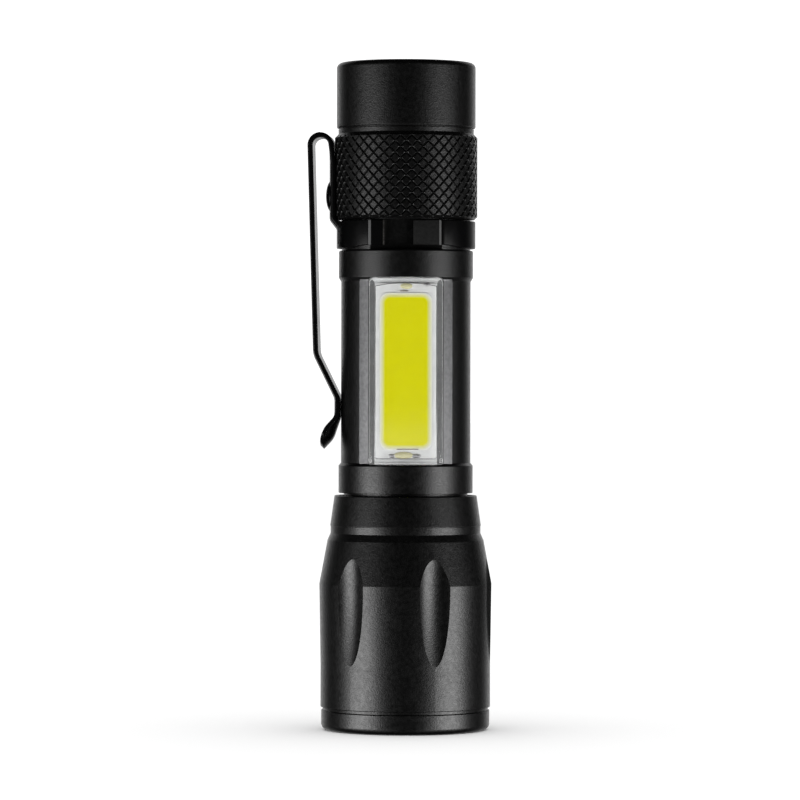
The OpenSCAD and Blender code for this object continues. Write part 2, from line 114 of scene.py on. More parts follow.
class Shader:
    """A Principled material whose sockets are set directly, with helpers for procedural detail."""

    def __init__(self, name, colour, rough, **sockets):
        self.material = bpy.data.materials.new(name)
        self.material.use_nodes = True
        self.nodes = self.material.node_tree.nodes
        self.links = self.material.node_tree.links
        self.principled = self.nodes["Principled BSDF"]
        self.colour = (*colour, 1)
        self.set("Base Color", self.colour)
        self.set("Roughness", rough)
        self.rough = rough
        for socket, value in sockets.items():
            self.set(socket.replace("_", " "), value)
        self.place = self.nodes.new("ShaderNodeTexCoord").outputs["Object"]
        self.bump = None

    def set(self, socket, value):
        self.principled.inputs[socket].default_value = value

    def noise(self, size_mm, detail=2.0, stretch=(1, 1, 1)):
        """Noise with features about size_mm across."""
        mapping = self.nodes.new("ShaderNodeMapping")
        mapping.inputs["Scale"].default_value = [s / (size_mm * MM) for s in stretch]
        texture = self.nodes.new("ShaderNodeTexNoise")
        texture.inputs["Scale"].default_value = 1.0
        texture.inputs["Detail"].default_value = detail
        self.links.new(self.place, mapping.inputs["Vector"])
        self.links.new(mapping.outputs["Vector"], texture.inputs["Vector"])
        return texture.outputs["Fac"]

    def spread(self, source, low_value, high_value, start=0.3, end=0.7):
        """Source stretched from start..end to low_value..high_value."""
        node = self.nodes.new("ShaderNodeMapRange")
        node.inputs["From Min"].default_value = start
        node.inputs["From Max"].default_value = end
        node.inputs["To Min"].default_value = low_value
        node.inputs["To Max"].default_value = high_value
        self.links.new(source, node.inputs["Value"])
        return node.outputs["Result"]

    def vary_rough(self, source, amount):
        self.links.new(self.spread(source, self.rough - amount, self.rough + amount),
                       self.principled.inputs["Roughness"])

    def vary_colour(self, source, other, start=0.3, end=0.7):
        """The base colour turns into the other colour as source goes from start to end."""
        mix = self.nodes.new("ShaderNodeMix")
        mix.data_type = "RGBA"
        mix.inputs["A"].default_value = self.colour
        mix.inputs["B"].default_value = (*other, 1)
        self.links.new(self.spread(source, 0, 1, start, end), mix.inputs["Factor"])
        self.links.new(mix.outputs["Result"], self.principled.inputs["Base Color"])

    def arith(self, operation, *values):
        """One arithmetic node; its inputs are sockets or numbers."""
        node = self.nodes.new("ShaderNodeMath")
        node.operation = operation
        for socket, value in zip(node.inputs, values):
            if isinstance(value, bpy.types.NodeSocket):
                self.links.new(value, socket)
            else:
                socket.default_value = value
        return node.outputs["Value"]

    def raise_by(self, source, height_mm, strength=1.0):
        """A bump map; a second call stands on the first."""
        node = self.nodes.new("ShaderNodeBump")
        node.inputs["Distance"].default_value = height_mm * MM
        node.inputs["Strength"].default_value = strength
        self.links.new(source, node.inputs["Height"])
        if self.bump:
            self.links.new(self.bump, node.inputs["Normal"])
        self.bump = node.outputs["Normal"]
        self.links.new(self.bump, self.principled.inputs["Normal"])


def anodised_aluminium():
    """Black anodised aluminium over fine bead blasting."""
    s = Shader("anodised_aluminium", (0.0002, 0.0002, 0.0002), 0.36, IOR=1.55)
    s.vary_rough(s.noise(0.5, 3), 0.05)
    s.vary_colour(s.noise(2.5, 4), (0.0004, 0.0004, 0.0004))
    s.raise_by(s.noise(0.2, 3), 0.022)
    return s.material


def milled_facet():
    """Aluminium cut after blasting and dyed thin, so it stays grey and smoother than the rest."""
    s = Shader("milled_facet", (0.11, 0.11, 0.113), 0.34, Metallic=1.0)
    lines = s.noise(0.1, 3, (1, 1, 6))
    s.vary_rough(lines, 0.06)
    s.vary_colour(s.noise(0.5, 3), (0.15, 0.15, 0.153))
    s.raise_by(lines, 0.006)
    return s.material


def black_steel(name, rough, ior):
    """Spring steel in black lacquer."""
    s = Shader(name, (0.0012, 0.0012, 0.0013), rough, IOR=ior)
    s.vary_rough(s.noise(1.2, 4), 0.05)
    s.raise_by(s.noise(0.35, 3), 0.003, 0.5)
    return s.material


def bare_steel():
    """Raw edge of the cut strip."""
    s = Shader("bare_steel", (0.62, 0.6, 0.57), 0.32, Metallic=1.0)
    s.vary_colour(s.noise(0.25, 4), (0.25, 0.24, 0.22))
    s.raise_by(s.noise(0.12, 3), 0.01)
    return s.material


def bright_metal(name, colour, rough, grain_mm=0.3):
    """Plated, drawn or turned metal with a slight grain."""
    s = Shader(name, colour, rough, Metallic=1.0)
    s.vary_rough(s.noise(grain_mm, 4), rough * 0.3)
    s.vary_colour(s.noise(3 * grain_mm, 3), [c * 0.8 for c in colour])
    s.raise_by(s.noise(grain_mm / 2, 2), 0.002)
    return s.material


def moulded(name, colour, rough, grain_mm=0.4, height_mm=0.004, **sockets):
    """Plastic, rubber, board or ceramic with a faint moulded grain."""
    s = Shader(name, colour, rough, **sockets)
    s.vary_rough(s.noise(grain_mm * 2, 3), rough * 0.15)
    s.vary_colour(s.noise(grain_mm * 4, 3), [c * 0.85 for c in colour])
    s.raise_by(s.noise(grain_mm, 3), height_mm)
    return s.material


def phosphor(half_x, z0, z1):
    """Yellow phosphor in silicone, mottled, and thinning to white round its border."""
    s = Shader("phosphor", (0.55, 0.525, 0.0005), 0.5)
    s.set("Specular IOR Level", 0.1)
    s.vary_colour(s.noise(0.6, 4), (0.52, 0.5, 0.0008))
    s.raise_by(s.noise(0.5, 3), 0.004)
    split = s.nodes.new("ShaderNodeSeparateXYZ")
    s.links.new(s.place, split.inputs["Vector"])
    x = s.arith("ABSOLUTE", split.outputs["X"])
    z = s.arith("ABSOLUTE", s.arith("SUBTRACT", split.outputs["Z"], (z0 + z1) / 2 * MM))
    corner, fading = 1.5, 0.75
    beyond_x = s.arith("MAXIMUM", s.arith("SUBTRACT", x, (half_x - corner) * MM), 0)
    beyond_z = s.arith("MAXIMUM", s.arith("SUBTRACT", z, ((z1 - z0) / 2 - corner) * MM), 0)
    squares = s.arith("ADD", s.arith("POWER", beyond_x, 2), s.arith("POWER", beyond_z, 2))
    fade = s.spread(s.arith("SQRT", squares), 0, 1, (corner - fading) * MM, corner * MM)
    mix = s.nodes.new("ShaderNodeMix")
    mix.data_type = "RGBA"
    mix.inputs["B"].default_value = (0.58, 0.58, 0.56, 1)
    s.links.new(fade, mix.inputs["Factor"])
    s.links.new(s.principled.inputs["Base Color"].links[0].from_socket, mix.inputs["A"])
    s.links.new(mix.outputs["Result"], s.principled.inputs["Base Color"])
    return s.material


def clear(name, tint, rough, ior):
    """Clear plastic or glass with a little haze."""
    s = Shader(name, tint, rough, IOR=ior, Transmission_Weight=1.0)
    s.vary_rough(s.noise(2.0, 2), rough * 0.3)
    return s.material


BLACK = anodised_aluminium()
FACET = milled_facet()
CLIP_BLACK = black_steel("black_steel", 0.24, 1.4)
BAND_BLACK = black_steel("black_steel_band", 0.32, 1.2)
BARE = bare_steel()
# painted highlight: a lighter grey strip along the clip band's two bend lines, standing in for the light
# lines there
BEND_HIGHLIGHT = moulded("painted_bend_highlight", (0.06, 0.06, 0.06), 0.45, 0.15, 0.01)
# painted sheen: a slightly lighter copy of the band's lacquer for the flat between the gap and one bend
GAP_FLAT_SHEEN = moulded("painted_sheen_lacquer", (0.0025, 0.0025, 0.0025), 0.5, 0.15, 0.01)
PHOSPHOR_X = high("cob_phosphor").x + 0.51
PHOSPHOR_Z0 = low("cob_phosphor").z - 0.27
PHOSPHOR_Z1 = high("cob_phosphor").z + 0.27
PHOSPHOR = phosphor(PHOSPHOR_X, PHOSPHOR_Z0, PHOSPHOR_Z1)
COVER = clear("cover_plastic", (0.97, 0.98, 0.985), 0.035, 1.49)
LENS = clear("lens_acrylic", (0.98, 0.99, 1.0), 0.01, 1.49)
WHITE = moulded("white_board", (0.58, 0.58, 0.575), 0.45)
FOAM = moulded("grey_foam_tape", (0.13, 0.13, 0.13), 0.7)
RUBBER = moulded("rubber", (0.006, 0.006, 0.006), 0.62, 0.2, 0.006)
STEEL = bright_metal("steel", (0.6, 0.6, 0.58), 0.28)
NICKEL = bright_metal("nickel", (0.66, 0.62, 0.56), 0.2)
BRASS = bright_metal("brass", (0.72, 0.55, 0.24), 0.28)
GREY_DOME = bright_metal("grey_dome_metal", (0.42, 0.41, 0.42), 0.4, 0.2)
DARK_DASH = moulded("dark_dash", (0.2, 0.17, 0.14), 0.5, 0.1)
SOLDER = moulded("flux_and_solder", (0.5, 0.47, 0.28), 0.35, 0.2, 0.01)

CAD_FINISHES = {
    "lens_gasket": RUBBER,
    "zoom_oring": RUBBER,
    "tailcap_oring": RUBBER,
    "zoom_stop_ring": STEEL,
    "tail_spring": STEEL,
    "switch_spring": STEEL,
    "led_pill": BRASS,
    "contact_spring": BRASS,
    "switch_retaining_ring": BRASS,
    "cell_can": NICKEL,
    "cell_cap": NICKEL,
    "charge_port_shell": NICKEL,
    "led_star_board": WHITE,
    "led_emitter": moulded("ceramic", (0.82, 0.82, 0.76), 0.5, 0.1),
    "led_dome": moulded("led_silicone", (0.75, 0.6, 0.08), 0.12, 0.5, 0.001, Coat_Weight=1.0),
    "led_insulator": moulded("nylon", (0.75, 0.75, 0.73), 0.5),
    "switch_plunger": moulded("acetal", (0.78, 0.78, 0.76), 0.4),
    "cell_insulator": moulded("paper", (0.78, 0.77, 0.72), 0.8, 0.1),
    "led_wires": moulded("red_wire", (0.5, 0.02, 0.015), 0.35),
    "cob_wires": moulded("red_black_wire", (0.45, 0.02, 0.015), 0.35),
    "driver_board": moulded("green_mask", (0.01, 0.12, 0.05), 0.3, 0.8),
    "driver_chips": moulded("epoxy", (0.015, 0.015, 0.017), 0.55, 0.1),
    "charge_port_tongue": moulded("port_black", (0.012, 0.012, 0.012), 0.5),
    "switch_housing": moulded("switch_black", (0.015, 0.015, 0.015), 0.45),
    "switch_board": moulded("phenolic", (0.3, 0.17, 0.07), 0.5),
    "cell_sleeve": moulded("cell_wrap", (0.02, 0.07, 0.3), 0.25, 3.0),
}


# ---------- mesh helpers ----------


def mm(x, y, z):
    return Vector((x, y, z)) * MM


def rounded(corners, closed=True, steps=ARC_STEPS):
    """2-D points in mm through corners (x, y, radius), each corner rounded to its own radius."""
    made = []
    for i, (x, y, radius) in enumerate(corners):
        here = Vector((x, y))
        if radius == 0 or (not closed and i in (0, len(corners) - 1)):
            made.append(here)
            continue
        back = Vector(corners[i - 1][:2]) - here
        on = Vector(corners[(i + 1) % len(corners)][:2]) - here
        half = back.angle(on) / 2
        reach = radius / math.tan(half)
        u, v = back.normalized(), on.normalized()
        centre = here + (u + v).normalized() * radius / math.sin(half)
        start, end = here + u * reach, here + v * reach
        if back.length > reach + 3 * HOLD:
            made.append(start + u * HOLD)
        for k in range(steps + 1):
            spoke = (start - centre).lerp(end - centre, k / steps)
            made.append(centre + spoke.normalized() * radius)
        if on.length > reach + 3 * HOLD:
            made.append(end + v * HOLD)
    return made


def make(name, bm, *materials, sharp=30):
    """An object from a bmesh, smooth except at edges sharper than the given angle."""
    bmesh.ops.recalc_face_normals(bm, faces=bm.faces)
    mesh = bpy.data.meshes.new(name)
    bm.to_mesh(mesh)
    bm.free()
    obj = bpy.data.objects.new(name, mesh)
    bpy.context.scene.collection.objects.link(obj)
    for m in materials:
        mesh.materials.append(m)
    smooth(obj, sharp)
    return obj


def smooth(obj, sharp=30):
    obj.data.shade_smooth()
    obj.data.set_sharp_from_angle(angle=math.radians(sharp))


def join_rings(bm, rings, closed=True):
    """Faces between neighbouring rings of vertices; a ring of one vertex is a pole."""
    pairs = list(zip(rings, rings[1:] + rings[:1])) if closed else list(zip(rings, rings[1:]))
    for a, b in pairs:
        if len(a) == len(b) == 1:
            continue
        count = max(len(a), len(b))
        for j in range(count):
            k = (j + 1) % count
            face = [a[j % len(a)], b[j % len(b)], b[k % len(b)], a[k % len(a)]]
            bm.faces.new(list(dict.fromkeys(face)))


def turned(name, corners, *materials, turns=TURNS, closed=True):
    """A solid of revolution about Z from half-section corners (r, z, rounding) in mm."""
    bm = bmesh.new()
    rings = []
    for r, z in rounded(corners, closed):
        if r < 1e-6:
            rings.append([bm.verts.new(mm(0, 0, z))])
            continue
        angles = [2 * math.pi * j / turns for j in range(turns)]
        rings.append([bm.verts.new(mm(r * math.cos(a), r * math.sin(a), z)) for a in angles])
    join_rings(bm, rings, closed)
    return make(name, bm, *materials)


def prism(name, outline, z0, z1, *materials):
    """A flat outline of (x, y) points in mm, from height z0 to z1."""
    bm = bmesh.new()
    base = [bm.verts.new(mm(x, y, z0)) for x, y in outline]
    top = [bm.verts.new(mm(x, y, z1)) for x, y in outline]
    join_rings(bm, [base, top], closed=False)
    bm.faces.new(base)
    bm.faces.new(top)
    return make(name, bm, *materials)


def box_outline(x0, y0, x1, y1):
    return [(x0, y0), (x1, y0), (x1, y1), (x0, y1)]


def combine(obj, other, operation="DIFFERENCE"):
    """Boolean of two meshes, applied; the other one is used up."""
    modifier = obj.modifiers.new("combine", "BOOLEAN")
    modifier.operation = operation
    modifier.solver = "EXACT"
    modifier.object = other
    evaluated = obj.evaluated_get(bpy.context.evaluated_depsgraph_get())
    mesh = bpy.data.meshes.new_from_object(evaluated)
    obj.modifiers.clear()
    obj.data = mesh
    bpy.data.objects.remove(other)
    return obj


def stands_for(obj, node, body):
    """The piece rides on the body and replaces the CAD node, which is hidden."""
    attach(obj, body)
    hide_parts(node)
    return obj


# ---------- zoom head ----------


class Flute:
    """One scooped flute: a ball-nosed tool swung on a big arc whose lowest point is at the shoulder."""

    TOOL_R = 4.2
    DEPTH = 0.86
    TIP_Z = 9.35
    LOWEST_Z = 19.0
    TURN = math.radians(20.2 - 90)
    COUNT = 6
    FLOOR_R = (LOWEST_Z - TIP_Z) ** 2 / (2 * (DEPTH - SHOULDER_R + BARREL_R))
    CENTRE_R = SHOULDER_R - DEPTH + FLOOR_R

    @classmethod
    def depth_at(cls, t, z):
        """Distance from the axis of the scooped surface, t to the side of the flute's middle."""
        swing = cls.FLOOR_R - cls.TOOL_R + math.sqrt(cls.TOOL_R**2 - t**2)
        return cls.CENTRE_R - math.sqrt(swing**2 - (z - cls.LOWEST_Z) ** 2)

    @classmethod
    def half_width(cls, r, z):
        """Where the scooped surface meets radius r, or 0 where it doesn't reach in that far."""
        if cls.depth_at(0, z) >= r:
            return 0.0
        inner, outer = 0.0, cls.TOOL_R * 0.9
        for _ in range(40):
            t = (inner + outer) / 2
            if math.hypot(cls.depth_at(t, z), t) < r:
                inner = t
            else:
                outer = t
        return inner


def head_shell():
    """The fluted head. Columns of vertices follow each flute's outline, so its edge is crisp."""
    lens_seat, bore, lip = 10.3, 9.75, 8.72
    cone_z, cone_r = 26.45, 10.9
    section = rounded([
        (lens_seat, SEAM_Z, 0), (BARREL_R, SEAM_Z, 0.12), (BARREL_R, Flute.TIP_Z, 60),
        (SHOULDER_R + 0.01, SHOULDER_Z + 0.4, 0.4), (cone_r, cone_z, 0.3), (10.47, cone_z + 0.98, 0.12),
        (10.47, cone_z + 1.98, 0.1), (10.53, cone_z + 2.05, 0.1), (9.93, HEAD_END_Z, 0.15),
        (lip, HEAD_END_Z, 0.25), (lip, 27.3, 0.1), (bore, 27.3, 0.1), (bore, 7.12, 0.05),
        (lens_seat, 7.12, 0)])
    tips = [Flute.TIP_Z + 0.05, 24.8]
    heights = []
    for tip in tips:
        heights += [tip + (Flute.LOWEST_Z - tip) * math.sin(k * math.pi / 64) ** 2 for k in range(33)]
    dense = []
    for a, b in zip(section, section[1:] + section[:1]):
        dense.append(a)
        if min(a.x, b.x) > bore + 0.5 and b.y - a.y > 0.05:
            inside = sorted(z for z in heights if a.y + 0.02 < z < b.y - 0.02)
            dense += [a.lerp(b, (z - a.y) / (b.y - a.y)) for z in inside]

    sector = 2 * math.pi / Flute.COUNT
    inner_steps, outer_steps, narrow = 20, 14, math.radians(0.15)
    bm = bmesh.new()
    rings, creases = [], []
    for r, z in dense:
        in_reach = r > bore + 0.5 and tips[0] - 2 < z < tips[1] + 1
        t_edge = Flute.half_width(r, z) if in_reach else 0.0
        edge = math.asin(t_edge / r) if t_edge > r * narrow else narrow
        ring = []
        for k in range(Flute.COUNT):
            middle = Flute.TURN + k * sector
            for j in range(inner_steps + 1):
                s = math.sin(math.pi / 2 * (2 * j / inner_steps - 1))
                if edge > narrow and abs(s) < 1:
                    x, y = Flute.depth_at(t_edge * s, z), t_edge * s
                else:
                    x, y = r * math.cos(edge * s), r * math.sin(edge * s)
                ring.append(bm.verts.new(Matrix.Rotation(middle, 3, "Z") @ mm(x, y, z)))
            span = sector - 2 * edge
            hold = math.radians(0.35)
            stops = [hold] + [span * j / outer_steps for j in range(1, outer_steps)] + [span - hold]
            for stop in stops:
                a = middle + edge + stop
                ring.append(bm.verts.new(mm(r * math.cos(a), r * math.sin(a), z)))
        rings.append(ring)
        creases.append(edge > narrow)
    join_rings(bm, rings)
    columns = len(rings[0]) // Flute.COUNT
    sharp = set()
    for i in range(len(rings) - 1):
        if creases[i] or creases[i + 1]:
            for k in range(Flute.COUNT):
                for column in (k * columns, k * columns + inner_steps):
                    sharp.add((rings[i][column], rings[i + 1][column]))
    crease_layer = bm.edges.layers.int.new("flute_edge")
    for a, b in sharp:
        bm.edges.get((a, b))[crease_layer] = 1
    obj = make("head_shell_looks", bm, BLACK)
    flags = obj.data.attributes["flute_edge"]
    for edge in obj.data.edges:
        if flags.data[edge.index].value:
            edge.use_edge_sharp = True
    obj.data.attributes.remove(flags)
    return stands_for(obj, "head_shell", "zoom_head")


def bezel_ring():
    shank_r, mouth_r = 10.28, 9.4
    obj = turned("bezel_ring_looks", [
        (10.1, 0, 0.1), (BEZEL_R, 0, 0.9), (BEZEL_R, 2.75, 0.1), (BEZEL_R - 0.22, 2.8, 0.03),
        (BEZEL_R - 0.22, SEAM_Z - 0.02, 0), (shank_r, SEAM_Z - 0.02, 0), (shank_r, 5.2, 0.1),
        (9.6, 5.2, 0.1), (9.6, 1.6, 0.1), (mouth_r, 1.35, 0.1), (mouth_r, 0.75, 0.1)], BLACK)
    return stands_for(obj, "bezel_ring", "zoom_head")


def lens():
    """Plano-convex lens with a flat flange."""
    edge_r = high("lens").x
    crown_z, flat_z = low("lens").z, high("lens").z
    flange_z, crown_r = flat_z - 1.2, 9.7
    rise = flange_z - crown_z
    ball_r = (crown_r**2 + rise**2) / (2 * rise)
    reach = math.asin(crown_r / ball_r)
    crown = [(ball_r * math.sin(reach * k / 32), crown_z + ball_r * (1 - math.cos(reach * k / 32)), 0)
             for k in range(33)]
    obj = turned("lens_looks", [*crown, (edge_r, flange_z, 0.08), (edge_r, flat_z, 0.08), (0, flat_z, 0)],
                 LENS, closed=False)
    return stands_for(obj, "lens", "zoom_head")


# ---------- tube ----------


def body_tube():
    """Turned tube with the milled pocket for the side light and the flat for the clip's ring."""
    seat_r, root_r, crest_r, pitch = 8.95, 8.0, 8.35, 0.8
    thread_z = CAP_Z + 1.85
    thread = []
    while thread_z + pitch < TUBE_END_Z:
        thread += [(root_r, thread_z + pitch * 0.3, 0), (crest_r, thread_z + pitch * 0.8, 0)]
        thread_z += pitch
    obj = turned("body_tube_looks", [
        (7.4, NECK_Z, 0), (NECK_R, NECK_Z, 0.3), (NECK_R, 13.2, 0.05), (7.9, 13.2, 0), (7.9, 15.2, 0),
        (NECK_R, 15.2, 0.05), (NECK_R, 16.13, 0.05), (8.1, 16.13, 0), (8.1, 17.22, 0), (NECK_R, 17.22, 0.05),
        (NECK_R, RIM_Z, 0), (RIM_R, RIM_Z, 0.1), (RIM_R, 36.85, 0.12), (TUBE_R, 37.25, 0.12),
        (TUBE_R, 62.5, 0.12), (RIM_R, 63.05, 0.12), (RIM_R, RING_Z0 - 0.28, 0.22),
        (seat_r, RING_Z0 - 0.28, 0), (seat_r, CAP_Z - 0.05, 0.1), (8.3, CAP_Z - 0.05, 0),
        (8.3, CAP_Z + 0.55, 0), (7.6, CAP_Z + 0.55, 0), (7.6, CAP_Z + 1.45, 0), (8.3, CAP_Z + 1.45, 0),
        (8.3, CAP_Z + 1.85, 0), *thread, (root_r, TUBE_END_Z, 0), (BORE_R, TUBE_END_Z, 0.1),
        (BORE_R, 25, 0), (6.7, 25, 0), (6.7, 15.7, 0), (7.4, 15.7, 0)], BLACK, FACET)
    facet_x, facet_y, flat_x = 6.43, -6.35, 5.15
    far = -14
    pocket = [(-facet_x, facet_y), (-flat_x, PANEL_Y), (flat_x, PANEL_Y), (facet_x, facet_y),
              (facet_x + 3, far), (-facet_x - 3, far)]
    combine(obj, prism("cut", pocket, PANEL_Z0 + 0.1, PANEL_Z1 - 0.3, BLACK))
    window = box_outline(-flat_x, far, flat_x, PANEL_Y)
    combine(obj, prism("cut", window, PANEL_Z0 - 0.06, PANEL_Z1 + 0.06, BLACK))
    combine(obj, prism("cut", box_outline(-3.2, -8, 3.2, -5), PANEL_Z0 + 1.4, PANEL_Z1 - 1.5, BLACK))
    combine(obj, prism("cut", box_outline(-8, far, 8, -7.45), RING_Z0 - 0.29, CAP_Z - 0.04, BLACK))
    port_lo, port_hi = low("charge_port_shell"), high("charge_port_shell")
    left, right = port_lo.x - 0.25, port_hi.x + 0.25
    under, over = port_lo.z - 0.2, port_hi.z + 0.2
    slot = [tuple(p) for p in rounded(
        [(left, under, 0.9), (right, under, 0.9), (right, over, 0.9), (left, over, 0.9)])]
    cutter = prism("cut", slot, 5, 10, BLACK)
    cutter.data.transform(Matrix(((1, 0, 0, 0), (0, 0, 1, 0), (0, 1, 0, 0), (0, 0, 0, 1))))
    cutter.data.flip_normals()
    combine(obj, cutter)
    wires = low("cob_wires")
    for side in (-1, 1):
        x = side * (abs(wires.x) - 0.3)
        combine(obj, prism("cut", box_outline(x - 0.4, -7.6, x + 0.4, -6), 26.15, PANEL_Z0 + 1.6, BLACK))
    facet_normal = Vector((PANEL_Y - facet_y, -(facet_x - flat_x), 0)).normalized()
    for face in obj.data.polygons:
        off_x = abs(abs(face.normal.x) - abs(facet_normal.x))
        off_y = abs(face.normal.y - facet_normal.y)
        if max(off_x, off_y) < 0.002:
            face.material_index = 1
    smooth(obj)
    return stands_for(obj, "body_tube", "tube")


# ---------- side light panel ----------


def upright(name, outline, y0, y1, edge, *materials):
    """A plate from y0 (back) to y1 (front) with an outline of (x, z) mm points and a rounded front edge."""
    bm = bmesh.new()
    middle = sum((Vector(p) for p in outline), Vector((0, 0))) / len(outline)
    rings = [[bm.verts.new(mm(x, y0, z)) for x, z in outline]]
    turns = [math.pi / 2 * k / ARC_STEPS for k in range(ARC_STEPS + 1)]
    steps = [(edge * (1 - math.cos(a)), y1 + edge * (1 - math.sin(a))) for a in turns]
    for inset, y in steps + [(edge + HOLD, y1)]:
        ring = []
        for x, z in outline:
            out = Vector((x, z)) - middle
            ring.append(bm.verts.new(mm(x - math.copysign(inset, out.x), y, z - math.copysign(inset, out.y))))
        rings.append(ring)
    join_rings(bm, rings, closed=False)
    bm.faces.new(rings[0])
    bm.faces.new(rings[-1])
    return make(name, bm, *materials)


def round_box(x, z0, z1, radius):
    return [tuple(p) for p in rounded([(-x, z0, radius), (x, z0, radius), (x, z1, radius), (-x, z1, radius)])]


def blob(bm, x, z, size):
    """A low dome on the board."""
    made = bmesh.ops.create_uvsphere(bm, u_segments=32, v_segments=16, radius=1.0)
    bmesh.ops.scale(bm, vec=mm(*size), verts=made["verts"])
    bmesh.ops.translate(bm, vec=mm(x, low("cob_board").y + 0.02, z), verts=made["verts"])


def side_light():
    lo, hi = low("cob_board"), high("cob_board")
    board = upright("cob_board_looks", round_box(hi.x, lo.z, hi.z, 0.3), hi.y, lo.y, 0.08, WHITE)
    stands_for(board, "cob_board", "tube")

    lo, hi = low("cob_phosphor"), high("cob_phosphor")
    outline = round_box(PHOSPHOR_X, PHOSPHOR_Z0, PHOSPHOR_Z1, 1.1)
    strip = upright("cob_phosphor_looks", outline, hi.y, hi.y - 0.12, 0.1, PHOSPHOR)
    stands_for(strip, "cob_phosphor", "tube")

    bm = bmesh.new()
    blob(bm, -0.3, 38.42, (1.35, 0.32, 0.5))
    blob(bm, 0.05, 61.75, (0.85, 0.3, 0.42))
    stands_for(make("cob_solder_looks", bm, SOLDER), "cob_solder", "tube")

    # grey metal domes: two beside the lower solder and one near the upper end
    bm = bmesh.new()
    for x, z, half in ((-1.9, 38.35, 0.5), (1.45, 38.35, 0.7), (2.9, 62.0, 0.45)):
        blob(bm, x, z, (half, 0.22, 0.3))
    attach(make("cob_grey_domes", bm, GREY_DOME), "tube")
    # two thin dark dashes across the board, one near each end
    y = low("cob_board").y
    for name, x0, x1, z in (("low", -1.25, 1.75, 39.18), ("high", -0.8, 0.3, 61.0)):
        dark_dash = upright(f"cob_dark_dash_{name}", box_outline(x0, z, x1, z + 0.14), y + 0.02, y - 0.2, 0.02, DARK_DASH)
        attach(dark_dash, "tube")


GASKET_T = 0.07
BED_X = 4.3


def panel_bed():
    """Grey foam tape under the cover's foot, and the white backing that the board lies on."""
    outline = round_box(COVER_X - 0.03, PANEL_Z0 + 0.03, PANEL_Z1 - 0.03, 0.3)
    tape = upright("cover_tape", outline, PANEL_Y, PANEL_Y - 0.04, 0.01, FOAM)
    outline = round_box(BED_X, PANEL_Z0 + 0.08, PANEL_Z1 - 0.06, 0.2)
    backing = upright("panel_backing", outline, PANEL_Y - 0.02, PANEL_Y - GASKET_T, 0.01, WHITE)
    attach(tape, "tube")
    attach(backing, "tube")


def panel_cover():
    """Clear tray over the light: side walls with round shoulders, a thin window and an arched top end."""
    shoulder, end_slope, corner = 0.7, 0.3, 0.9
    bm = bmesh.new()
    turns = [math.pi / 2 * k / 10 for k in range(11)]
    steps = [(0, 0, PANEL_Y - GASKET_T - 0.02)]
    for a in turns:
        inset = 1 - math.cos(a)
        steps.append((shoulder * inset, end_slope * inset, COVER_Y + shoulder * (1 - math.sin(a))))
    steps.append((shoulder + HOLD, end_slope + HOLD, COVER_Y))
    rings = []
    for inset_x, inset_z, y in steps:
        x, z0, z1 = COVER_X - inset_x, PANEL_Z0 + inset_z, PANEL_Z1 - inset_z
        points = rounded([(-x, z0, 0.25), (x, z0, 0.25), (x, z1, corner), (-x, z1, corner)])
        rings.append([bm.verts.new(mm(x, y, z)) for x, z in points])
    join_rings(bm, rings, closed=False)
    bm.faces.new(rings[0])
    bm.faces.new(rings[-1])
    obj = make("cob_cover_looks", bm, COVER)
    side_x, foot_z, spring_z, crown_z = high("cob_board").x + 0.08, PANEL_Z0 + 0.78, 61.75, 62.28
    cavity = [tuple(p) for p in rounded(
        [(-side_x, spring_z, 0), (-side_x, foot_z, 0.3), (side_x, foot_z, 0.3), (side_x, spring_z, 0)],
        closed=False)]
    for k in range(1, 24):
        x = side_x * (1 - k / 12)
        cavity.append((x, crown_z - (crown_z - spring_z) * (x / side_x) ** 2))
    combine(obj, upright("cut", cavity, PANEL_Y + 2, COVER_Y + 0.6, 0.15, COVER))
    smooth(obj)
    obj.visible_shadow = False
    return stands_for(obj, "cob_cover", "tube")


# ---------- pocket clip ----------

CLIP_T = 0.68
CLIP_W = 5.7
RING_H = 3.8
HINGE = Vector(JOINTS["clip_flex"]["pos_m"]) / MM
BEND_X = math.hypot(HINGE.x, HINGE.y)
BEND_TOP = HINGE.z - CLIP_T / 2
BEND_R = 1.44
LEG_X = BEND_X - 1.51
ARM_T = 0.74
CLIP_TURN = Matrix.Rotation(math.atan2(HINGE.y, HINGE.x), 4, "Z")


def strip(name, path, half_widths, dishes, material, place, thickness=CLIP_T, edge=0.16):
    """A bent strip: at each path point its section is a rounded bar that a dish curls up at the sides."""
    thick = thickness / 2
    columns = [-1 + 2 * k / 10 for k in range(11)]
    bm = bmesh.new()
    rings = []
    for i, point in enumerate(path):
        along = (path[min(i + 1, len(path) - 1)] - path[max(i - 1, 0)]).normalized()
        out = Vector((-along.y, along.x))
        half, dish = half_widths[i], dishes[i]
        flat = max(half - edge, half * 0.2)
        section = [(flat * c, thick) for c in columns]
        section += [(flat + (half - flat) * math.sin(a), thick * math.cos(a))
                    for a in (math.pi * k / 8 for k in range(1, 8))]
        section += [(-flat * c, -thick) for c in columns]
        section += [(-flat - (half - flat) * math.sin(a), -thick * math.cos(a))
                    for a in (math.pi * k / 8 for k in range(1, 8))]
        ring = []
        for w, n in section:
            offset = out * (n + dish * (w / CLIP_W * 2) ** 2)
            ring.append(bm.verts.new(place @ mm(point.x + offset.x, w, point.y + offset.y)))
        rings.append(ring)
    join_rings(bm, rings, closed=False)
    bm.faces.new(rings[0])
    bm.faces.new(rings[-1])
    return make(name, bm, material)


def even(path, step):
    """The path cut into pieces no longer than step."""
    made = [path[0]]
    for a, b in zip(path, path[1:]):
        count = max(1, math.ceil((b - a).length / step))
        made += [a.lerp(b, k / count) for k in range(1, count + 1)]
    return made


